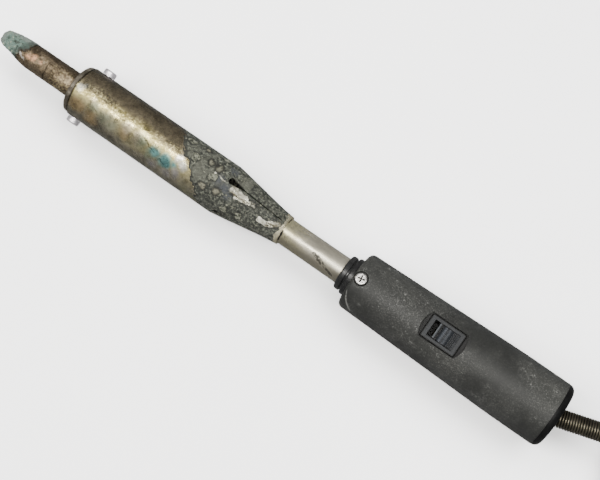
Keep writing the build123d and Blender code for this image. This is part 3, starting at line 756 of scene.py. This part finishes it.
def bit_look():
    """Oxidised copper with a salmon patch and golden flecks and painted shade on both flanks,
    verdigris over the point.
    """
    look = Look("bit_oxidised_copper")
    along, across, _ = look.axes()
    ragged = look.warped(300.0, 4.0, 7.0)
    cloud = look.noise(130.0, 7.0, 0.7, 0.5)
    grain = look.noise(900.0, 6.0, 0.82)
    copper = look.ramp(
        cloud,
        (0.32, (0.060, 0.045, 0.028)),
        (0.46, (0.155, 0.118, 0.075)),
        (0.56, (0.26, 0.205, 0.135)),
        (0.70, (0.19, 0.145, 0.085)),
    )
    # Painted shade: both flanks of the bit darker than its middle.
    shade = look.plus(across, look.span(cloud, 0.3, 0.7, -2.5, 2.5))
    copper = look.mix(look.span(shade, -1.2, -4.0, 0.0, 0.8), copper, (0.062, 0.047, 0.030))
    copper = look.mix(look.span(shade, 3.5, 6.5, 0.0, 0.6), copper, (0.10, 0.080, 0.052))
    flecks = look.ramp(grain, (0.36, 0.25), (0.5, 0.95), (0.62, 1.5))
    copper = look.mix(0.8, copper, flecks, "MULTIPLY")
    gold = look.times(look.span(grain, 0.52, 0.60), look.span(along, 338.0, 327.0))
    gold = look.times(gold, look.span(across, -4.0, -2.0))
    copper = look.mix(look.times(gold, 0.5), copper, (0.66, 0.55, 0.29))
    places = [(345.5, 8, 0.8, 2.8), (348.8, 17, 0.5, 2.3), (341, 11, 0, 1.8)]
    salmon = look.patches(BIT_R, ragged, places)
    salmon = look.times(salmon, look.span(grain, 0.38, 0.52))
    copper = look.mix(look.times(salmon, 0.85), copper, (0.60, 0.335, 0.19))
    shake = look.times(look.minus(look.noise(300.0, 5.0, 0.6), 0.5), 3.0)
    groove_at = look.absolute(look.minus(look.plus(along, shake), 336.4))
    groove = look.times(look.span(groove_at, 0.5, 0.1), look.span(across, -4.0, 0.0, 0.15, 0.85))
    copper = look.mix(groove, copper, (0.020, 0.015, 0.010))
    ripple = look.times(look.minus(look.noise(280.0, 8.0, 0.7), 0.5), 15.0)
    edge = look.plus(look.minus(along, look.times(across, 0.55)), ripple)
    point = look.span(edge, 352.8, 353.6)
    crack = look.times(look.span(edge, 350.9, 352.3), look.span(edge, 353.8, 352.8))
    copper = look.mix(look.times(crack, 0.85), copper, (0.016, 0.014, 0.011))
    pale = look.stroke(ragged, 7.4, [(351, 36), (354.5, 24)], 0.3, 1.1)
    copper = look.mix(look.times(pale, 0.9), copper, (0.50, 0.47, 0.42))
    verdigris = look.ramp(
        look.noise(400.0, 9.0, 0.8, 0.6),
        (0.36, (0.004, 0.006, 0.004)),
        (0.45, (0.022, 0.031, 0.023)),
        (0.52, (0.072, 0.112, 0.094)),
        (0.57, (0.030, 0.044, 0.032)),
        (0.64, (0.36, 0.37, 0.26)),
    )
    rim = look.plus(across, look.span(cloud, 0.3, 0.7, -1.5, 1.5))
    rim = look.most(look.span(rim, -2.8, -4.6), look.span(along, 366.0, 369.5))
    verdigris = look.mix(look.times(rim, 0.45), verdigris, (0.13, 0.14, 0.125))
    shadow = look.span(edge, 358.5, 353.5, 0.0, 0.8)
    verdigris = look.mix(shadow, verdigris, (0.012, 0.015, 0.012))
    colour = look.mix(point, copper, verdigris)
    roughness = look.span(look.noise(330.0, 5.0, 0.6), 0.3, 0.7, 0.36, 0.6)
    metal = look.span(point, 0.0, 1.0, 0.9, 0.15)
    return look.finish(colour, roughness, metal, look.bump(grain, 0.16))


def holder_look():
    """Browned steel, paler where it is rubbed."""
    look = Look("holder_browned_steel")
    tone = look.ramp(
        look.noise(230.0, 6.0, 0.65, 0.4),
        (0.32, (0.040, 0.035, 0.027)),
        (0.5, (0.12, 0.105, 0.082)),
        (0.68, (0.24, 0.215, 0.17)),
    )
    roughness = look.span(look.noise(400.0, 4.0), 0.3, 0.7, 0.34, 0.6)
    normal = look.bump(look.noise(700.0, 6.0, 0.7), 0.15)
    return look.finish(tone, roughness, 0.85, normal)


NECK_R, BEAD_R = 7.7, 7.9


def neck_look():
    """Satin steel tube, yellowed towards the barrel, with a torn dark diagonal stain and painted
    shade along its +Y side.
    """
    look = Look("neck_satin_steel")
    along, across, _ = look.axes()
    grain = look.noise(160.0, 6.0, 0.6, 0.0, look.stretched(0.25, 1.0, 1.0))
    steel = look.ramp(
        grain,
        (0.3, (0.42, 0.385, 0.30)),
        (0.55, (0.60, 0.56, 0.45)),
        (0.75, (0.68, 0.64, 0.53)),
    )
    straw = look.plus(along, look.span(grain, 0.2, 0.8, -9.0, 9.0))
    straw = look.span(straw, 158.0, 170.0)
    steel = look.mix(look.times(straw, 0.75), steel, (0.62, 0.57, 0.34))
    mottle = look.noise(520.0, 6.0, 0.75)
    spread = look.span(along, 152.0, 170.0, 0.25, 0.9)
    dapple = look.ramp(mottle, (0.36, 0.62), (0.5, 0.97), (0.64, 1.22))
    steel = look.mix(spread, steel, look.mix(1.0, steel, dapple, "MULTIPLY"))
    # Painted shade: the neck darker towards its +Y side.
    side_shade = look.span(across, 2.5, 6.0, 0.0, 0.75)
    steel = look.mix(side_shade, steel, (0.24, 0.22, 0.17))
    ragged = look.warped(520.0, 1.8, 7.0)
    stain = look.strokes(
        ragged,
        (NECK_R, [(153, 16), (149.5, 24), (144, 38), (139, 54)], 0.55, 1.15),
        (NECK_R, [(150, 20), (146, 34)], 1.1, 1.8),
        (NECK_R, [(171.5, 23), (169, 42)], 0.1, 0.5),
        (NECK_R, [(163, -42), (160, -46)], 0.0, 0.8),
    )
    blob = look.strokes(
        ragged,
        (BEAD_R, [(174, 12), (173.6, 34), (174.4, 60)], 0.6, 1.3),
        (BEAD_R, [(174, -30), (174, -64)], 0.3, 1.0),
    )
    torn = look.span(look.noise(900.0, 3.0, 0.6), 0.40, 0.50, 0.6, 0.95)
    stain = look.most(look.times(stain, torn), blob)
    specks = look.span(look.noise(900.0, 5.0, 0.8), 0.36, 0.31)
    stain = look.most(stain, look.times(specks, look.span(along, 158.0, 172.0)))
    colour = look.mix(stain, steel, (0.009, 0.0078, 0.0055))
    roughness = look.span(grain, 0.3, 0.7, 0.30, 0.44)
    metal = look.span(stain, 0.0, 1.0, 0.95, 0.4)
    brushed = look.noise(1400.0, 3.0, 0.6, 0.0, look.stretched(1.0, 0.1, 0.1))
    return look.finish(colour, roughness, metal, look.bump(brushed, 0.012, 0.5))


def handle_look():
    """Matte charcoal moulding with dust, fine speckles, scuffs, one light streak across its lower
    front corner, and painted shade in the sunk well round the switch.
    """
    look = Look("handle_charcoal", IOR=1.4)
    _, across, height = look.axes()
    # Painted shade: the handle's surface sunk in the well round the switch goes near black.
    inside = look.span(look.absolute(across), 7.5, 7.3)
    pocket_shade = look.times(inside, look.near(spot(SWITCH_AT, 0, 15.7), 13.0, 13.3))
    sunk = look.span(height, AXIS_Z + 16.4 * MM, AXIS_Z + 16.1 * MM)
    pocket_shade = look.times(pocket_shade, sunk)
    cloud = look.noise(34.0, 5.0, 0.6, 0.3)
    tone = look.ramp(
        cloud,
        (0.3, (0.0060, 0.0062, 0.0058)),
        (0.55, (0.0115, 0.0118, 0.0108)),
        (0.75, (0.0170, 0.0172, 0.0155)),
    )
    places = [(100, 0, 4, 26), (80, -40, 3, 22), (60, 35, 3, 20)]
    about = look.patches(17.5, look.warped(70.0, 16.0), places)
    dusty = look.most(about, look.span(cloud, 0.42, 0.62, 0.15, 0.75))
    fine = look.span(look.noise(1700.0, 4.0, 0.9), 0.53, 0.64)
    fine = look.times(fine, dusty)
    tone = look.mix(look.times(fine, 0.75), tone, (0.085, 0.085, 0.078))
    crumbs = look.span(look.noise(1000.0, 4.0, 0.85), 0.63, 0.69)
    crumbs = look.times(crumbs, dusty)
    tone = look.mix(look.times(crumbs, 0.6), tone, (0.19, 0.19, 0.175))
    worms = look.absolute(look.minus(look.noise(190.0, 3.0, 0.5, 1.0), 0.5))
    worms = look.times(look.span(worms, 0.011, 0.002), look.span(look.noise(75.0, 2.0), 0.56, 0.62))
    worms = look.times(worms, look.span(dusty, 0.2, 0.7, 0.1, 0.75))
    tone = look.mix(worms, tone, (0.095, 0.095, 0.088))
    # A light streak across the lower front corner.
    ragged = look.warped(500.0, 1.6, 6.0)
    corner_streak = look.strokes(
        ragged,
        (16.9, [(125.5, 44), (123.0, 58), (120, 72)], 0.05, 0.7),
        (16.8, [(127, 30), (125.0, 46)], 0.0, 0.5),
    )
    tone = look.mix(look.times(corner_streak, 0.35), tone, (0.20, 0.20, 0.185))
    # Painted shade in the sunk well round the switch.
    tone = look.mix(look.times(pocket_shade, 0.9), tone, (0.0012, 0.0012, 0.0011))
    roughness = look.span(cloud, 0.3, 0.7, 0.50, 0.62)
    normal = look.bump(look.noise(1500.0, 4.0, 0.7), 0.05, 0.7)
    normal = look.bump(crumbs, 0.06, 0.5, normal)
    return look.finish(tone, roughness, None, normal)


def screw_look():
    """Bright pan head, with painted shade, near black, in the cross and round the rim, wherever it
    lies deeper than just under its top.
    """
    look = Look("screw_pan_head", Metallic=1.0)
    _, _, height = look.axes()
    mottle = look.noise(700.0, 5.0, 0.7)
    tone = look.ramp(mottle, (0.3, (0.46, 0.455, 0.43)), (0.7, (0.78, 0.77, 0.74)))
    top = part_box("handle_screw")[1].z
    # Painted shade: near black more than half a millimetre under the head's top, in the cross and
    # round the rim.
    recess_shade = look.span(height, top - 0.55 * MM, top - 0.9 * MM)
    tone = look.mix(recess_shade, tone, (0.012, 0.011, 0.009))
    roughness = look.span(mottle, 0.3, 0.7, 0.26, 0.40)
    return look.finish(tone, roughness, None, look.bump(mottle, 0.03))


def bezel_look():
    """Grey switch frame, with painted shade, near black, round its outer edge."""
    look = Look("bezel_grey", IOR=1.3)
    along, across, _ = look.axes()
    sideways = look.absolute(across)
    lengthways = look.absolute(look.minus(along, SWITCH_AT))
    mottle = look.noise(600.0, 5.0, 0.7)
    tone = look.ramp(mottle, (0.3, (0.0085, 0.0092, 0.0098)), (0.7, (0.0140, 0.0147, 0.0155)))
    # Painted shade: a near-black band round the frame's outer edge.
    rim = look.most(look.span(sideways, 6.0, 6.3), look.span(lengthways, 9.5, 9.8))
    tone = look.mix(rim, tone, (0.002, 0.002, 0.002))
    roughness = look.span(mottle, 0.3, 0.7, 0.38, 0.52)
    return look.finish(tone, roughness, None, look.bump(mottle, 0.03))


def plain_look(name, dark, light, rough, scale, metallic, relief):
    """A two-tone surface with fine mottling, for the small pieces."""
    look = Look(name, Metallic=metallic)
    mottle = look.noise(scale, 5.0, 0.65, 0.2)
    colour = look.ramp(mottle, (0.3, dark), (0.7, light))
    roughness = look.span(look.noise(scale * 1.7, 4.0), 0.3, 0.7, rough[0], rough[1])
    normal = look.bump(look.noise(scale * 3, 4.0, 0.7), relief)
    return look.finish(colour, roughness, None, normal)


# Name, dark and light colour, roughness, noise scale, metallic, relief in mm, and the pieces.
PLAIN_LOOKS = [
    ("screw_bright", (0.50, 0.50, 0.47), (0.82, 0.82, 0.79), (0.22, 0.34), 500.0, 1.0, 0.02,
     ["cord_clamp_screws", "earth_screw", "terminal_screws"]),
    ("screw_zinc", (0.50, 0.48, 0.50), (0.80, 0.77, 0.80), (0.30, 0.46), 500.0, 0.85, 0.04,
     ["clamp_screw_left", "clamp_screw_right"]),
    ("collar_gloss", (0.003, 0.003, 0.003), (0.008, 0.008, 0.008), (0.24, 0.40), 260.0, 0.0, 0.02,
     ["heat_collar"]),
    ("spring_nickel", (0.09, 0.08, 0.058), (0.20, 0.18, 0.135), (0.30, 0.44), 120.0, 1.0, 0.01,
     ["relief_spring"]),
    ("plug_black", (0.006, 0.006, 0.0065), (0.016, 0.016, 0.0165), (0.38, 0.55), 350.0, 0.0, 0.04,
     ["plug_body", "plug_boot"]),
    ("plug_nickel", (0.52, 0.49, 0.42), (0.8, 0.78, 0.72), (0.2, 0.36), 420.0, 1.0, 0.02,
     ["plug_pins", "plug_earth_clips"]),
    ("contact_brass_tarnished", (0.008, 0.007, 0.005), (0.022, 0.018, 0.012), (0.55, 0.72),
     400.0, 1.0, 0.02, ["switch_terminals", "switch_contact"]),
    ("clamp_brass", (0.42, 0.3, 0.12), (0.72, 0.56, 0.28), (0.24, 0.42), 400.0, 1.0, 0.02,
     ["terminal_sleeves", "earth_clamp"]),
    ("inner_steel", (0.10, 0.09, 0.08), (0.26, 0.25, 0.23), (0.4, 0.6), 300.0, 1.0, 0.03,
     ["core_tube", "neck_bush"]),
    ("steatite", (0.36, 0.34, 0.28), (0.62, 0.60, 0.54), (0.55, 0.75), 300.0, 0.0, 0.05,
     ["front_insulator", "rear_insulator", "ceramic_beads", "terminal_block"]),
    ("mica_sheet", (0.20, 0.15, 0.09), (0.36, 0.30, 0.20), (0.3, 0.5), 200.0, 0.0, 0.05,
     ["mica_inner", "mica_outer"]),
    ("heater_wire", (0.05, 0.045, 0.04), (0.14, 0.13, 0.12), (0.4, 0.6), 300.0, 1.0, 0.02,
     ["heating_winding", "heater_leads"]),
    ("wire_brown", (0.10, 0.045, 0.02), (0.16, 0.075, 0.035), (0.4, 0.55), 200.0, 0.0, 0.02,
     ["supply_wires", "switched_wire"]),
    ("wire_green_yellow", (0.03, 0.16, 0.03), (0.42, 0.38, 0.04), (0.4, 0.55), 90.0, 0.0, 0.02,
     ["earth_wire"]),
]


def cord_look():
    """Dull black rubber with a little dust."""
    look = Look("cord_rubber_sheath")
    mottle = look.noise(120.0, 5.0, 0.6)
    tone = look.ramp(mottle, (0.3, (0.018, 0.018, 0.019)), (0.7, (0.042, 0.042, 0.041)))
    dust = look.span(look.noise(700.0, 4.0, 0.7), 0.6, 0.75, 0.0, 0.3)
    tone = look.mix(dust, tone, (0.12, 0.115, 0.105))
    roughness = look.span(look.noise(300.0, 4.0), 0.3, 0.7, 0.5, 0.72)
    return look.finish(tone, roughness, None, look.bump(look.noise(1600.0, 4.0, 0.6), 0.04))


def strap_look():
    """A woven black strap, lighter in its weft."""
    look = Look("tie_woven_strap")
    weft, _ = look.cells(1500.0, look.stretched(1.0, 0.6, 0.6))
    tone = look.ramp(weft, (0.1, (0.05, 0.05, 0.055)), (0.5, (0.012, 0.012, 0.014)))
    return look.finish(tone, 0.85, None, look.bump(weft, 0.15))


SLIDER_RIBS, SLIDER_PAD, SLIDER_LIP = 68.1, 71.4, 75.4
SLIDER_EDGE = 16.7 * MM


def slider_look():
    """Blue-black thumb slide, with painted shade in the groove, in the ribs and along its sides,
    and painted highlights on the lip and across the pad.
    """
    look = Look("slider_blue_black", IOR=1.4)
    along, across, height = look.axes()
    mottle = look.noise(900.0, 5.0, 0.65, 0.2)
    tone = look.ramp(mottle, (0.3, (0.0044, 0.0050, 0.0061)), (0.7, (0.0055, 0.0062, 0.0074)))
    # Painted highlight: a light band across the pad.
    off_pad = look.absolute(look.minus(along, SLIDER_PAD))
    tone = look.mix(look.span(off_pad, 2.4, 0.2, 0.0, 0.8), tone, (0.034, 0.038, 0.045))
    # Painted highlight: a light line on the lip.
    lip = look.span(along, SLIDER_LIP, SLIDER_LIP + 0.3, 0.0, 0.7)
    tone = look.mix(lip, tone, (0.034, 0.037, 0.040))
    # Painted shade: near black in the groove, in the sunk ribs and along both sides.
    edge = AXIS_Z + SLIDER_EDGE
    sunk = look.span(height, edge + 0.62 * MM, edge + 0.5 * MM)
    ribs = look.times(sunk, look.span(along, SLIDER_RIBS, SLIDER_RIBS - 0.2))
    groove = look.span(height, edge + 0.05 * MM, edge - 0.15 * MM)
    dark = look.most(look.span(look.absolute(across), 4.1, 4.4), look.most(ribs, groove))
    tone = look.mix(look.times(dark, 0.95), tone, (0.0010, 0.0010, 0.0012))
    roughness = look.span(mottle, 0.3, 0.7, 0.2, 0.3)
    return look.finish(tone, roughness, None, look.bump(mottle, 0.001))


def cap_look():
    """The end cap's deep black moulding."""
    look = Look("cap_black", IOR=1.25)
    mottle = look.noise(300.0, 5.0, 0.65, 0.2)
    tone = look.ramp(mottle, (0.3, (0.0012, 0.0012, 0.0012)), (0.7, (0.003, 0.003, 0.003)))
    roughness = look.span(look.noise(500.0, 4.0), 0.3, 0.7, 0.42, 0.56)
    return look.finish(tone, roughness, None, look.bump(look.noise(900.0, 4.0, 0.7), 0.03))


def make_materials():
    """Every piece gets the look of what it is made of."""
    dress(barrel_look(), "barrel_shell")
    dress(bit_look(), "worn_bit")
    dress(holder_look(), "bit_holder")
    dress(neck_look(), "neck_tube")
    dress(handle_look(), "handle_shell")
    dress(bezel_look(), "switch_housing", "switch_base")
    dress(screw_look(), "handle_screw")
    dress(cord_look(), "mains_cord", "inner_cord")
    dress(strap_look(), "strap_band")
    dress(cap_look(), "end_cap", "cord_clamp")
    dress(slider_look(), "switch_slider")
    for *settings, pieces in PLAIN_LOOKS:
        dress(plain_look(*settings), *pieces)


make_materials()


# --- stage and light --------------------------------------------------------------------------
FLOOR_HALF, WORLD_LIGHT = 3, 0.32


def make_stage():
    """The white floor."""
    mesh = bpy.data.meshes.new("floor")
    half = FLOOR_HALF
    corners = [(-half, -half, 0), (half, -half, 0), (half, half, 0), (-half, half, 0)]
    mesh.from_pydata(corners, [], [(0, 1, 2, 3)])
    floor = bpy.data.objects.new("floor", mesh)
    scene.collection.objects.link(floor)
    look = Look("floor_white", Roughness=0.95)
    tone = look.ramp(look.noise(6.0, 3.0), (0.3, 0.9), (0.7, 0.93))
    mesh.materials.append(look.finish(tone))
    floor.visible_glossy = False


def area_light(name, place, target, size, power, tint=(1, 1, 1), even=False):
    """A rectangular light; an even one doesn't show as a reflection."""
    data = bpy.data.lights.new(name, "AREA")
    data.shape = "RECTANGLE"
    data.size, data.size_y = size
    data.energy = power
    data.color = tint
    light = bpy.data.objects.new(name, data)
    light.location = place
    light.rotation_euler = (Vector(target) - Vector(place)).to_track_quat("-Z", "Y").to_euler()
    light.visible_glossy = not even
    scene.collection.objects.link(light)


def make_light():
    """A long softbox that shows on the metal, over wide panels that only light evenly."""
    area_light("softbox", (0.05, 0.13, 0.98), (0.05, 0, 0), (1.3, 0.18), 14.0, (1.0, 0.98, 0.94))
    area_light("panel_left", (0.9, 0.7, 1.2), (0.05, 0, 0), (1.0, 1.0), 38.0, even=True)
    area_light("panel_right", (-0.6, -0.7, 1.3), (0, 0, 0), (1.2, 1.2), 54.0, even=True)
    area_light("panel_tip", (0.7, -0.7, 1.2), (0.1, 0, 0), (0.8, 0.8), 20.0, even=True)
    world = bpy.data.worlds.new("studio")
    world.use_nodes = True
    backdrop = world.node_tree.nodes["Background"]
    backdrop.inputs["Color"].default_value = (1.0, 1.0, 1.0, 1)
    backdrop.inputs["Strength"].default_value = WORLD_LIGHT
    scene.world = world


make_stage()
make_light()
